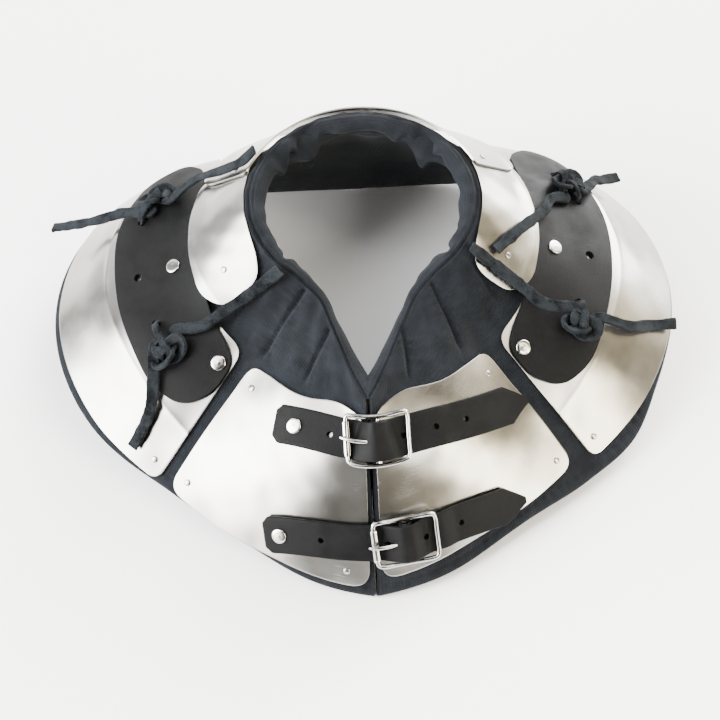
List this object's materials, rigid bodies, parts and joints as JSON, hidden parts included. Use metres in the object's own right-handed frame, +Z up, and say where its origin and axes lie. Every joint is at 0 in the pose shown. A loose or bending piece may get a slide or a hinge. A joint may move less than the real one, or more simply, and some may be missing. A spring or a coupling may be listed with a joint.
{
  "type": "steel gorget",
  "caption": "Padded steel gorget with a split front closed by two buckled straps, articulated shoulder plates and laced leather shoulder patches.",
  "frame": {"origin": "the middle of the gorget's box, without its loose laces, at the level it rests on", "axes": "+X towards the wearer's left shoulder, which is the picture's right; +Y towards the back of the neck; +Z up through the neck opening"},
  "size_m": [0.4176, 0.3366, 0.146],
  "materials": {
    "brushed_steel": "brushed, soft broad reflections",
    "nickel_fittings": "polished",
    "black_leather": "matte, pebbled",
    "suede_lace": "rough suede",
    "padding_cloth": "matte quilted cotton"
  },
  "bodies": {
    "root": {"back_plate": "brushed_steel", "buckle_frame_lower": "nickel_fittings", "buckle_frame_upper": "nickel_fittings", "buckle_prong_lower": "nickel_fittings", "buckle_prong_upper": "nickel_fittings", "buckle_roller_lower": "nickel_fittings", "buckle_roller_upper": "nickel_fittings", "chape_lower": "black_leather", "chape_upper": "black_leather", "chest_plate_left": "brushed_steel", "chest_plate_right": "brushed_steel", "collar_plate_back": "brushed_steel", "collar_plate_left": "brushed_steel", "collar_plate_right": "brushed_steel", "lace_knot_left_back": "suede_lace", "lace_knot_left_front": "suede_lace", "lace_knot_right_back": "suede_lace", "lace_knot_right_front": "suede_lace", "lace_left_back_inner": "suede_lace", "lace_left_back_outer": "suede_lace", "lace_left_front_inner": "suede_lace", "lace_left_front_outer": "suede_lace", "lace_right_back_inner": "suede_lace", "lace_right_back_outer": "suede_lace", "lace_right_front_inner": "suede_lace", "lace_right_front_outer": "suede_lace", "liner": "padding_cloth", "neck_binding": "padding_cloth", "rivet_chest_left_1": "brushed_steel", "rivet_chest_left_2": "brushed_steel", "rivet_chest_left_3": "brushed_steel", "rivet_chest_right_1": "brushed_steel", "rivet_chest_right_2": "brushed_steel", "rivet_chest_right_3": "brushed_steel", "rivet_collar_back_left": "brushed_steel", "rivet_collar_back_right": "brushed_steel", "rivet_collar_left": "brushed_steel", "rivet_collar_right": "brushed_steel", "rivet_patch_left_1": "nickel_fittings", "rivet_patch_left_2": "nickel_fittings", "rivet_patch_right_1": "nickel_fittings", "rivet_patch_right_2": "nickel_fittings", "rivet_shoulder_left": "brushed_steel", "rivet_shoulder_right": "brushed_steel", "rivet_strap_lower": "nickel_fittings", "rivet_strap_upper": "nickel_fittings", "shoulder_patch_left": "black_leather", "shoulder_patch_right": "black_leather", "shoulder_plate_left": "brushed_steel", "shoulder_plate_right": "brushed_steel", "strap_lower": "black_leather", "strap_upper": "black_leather"}
  },
  "joints": []
}
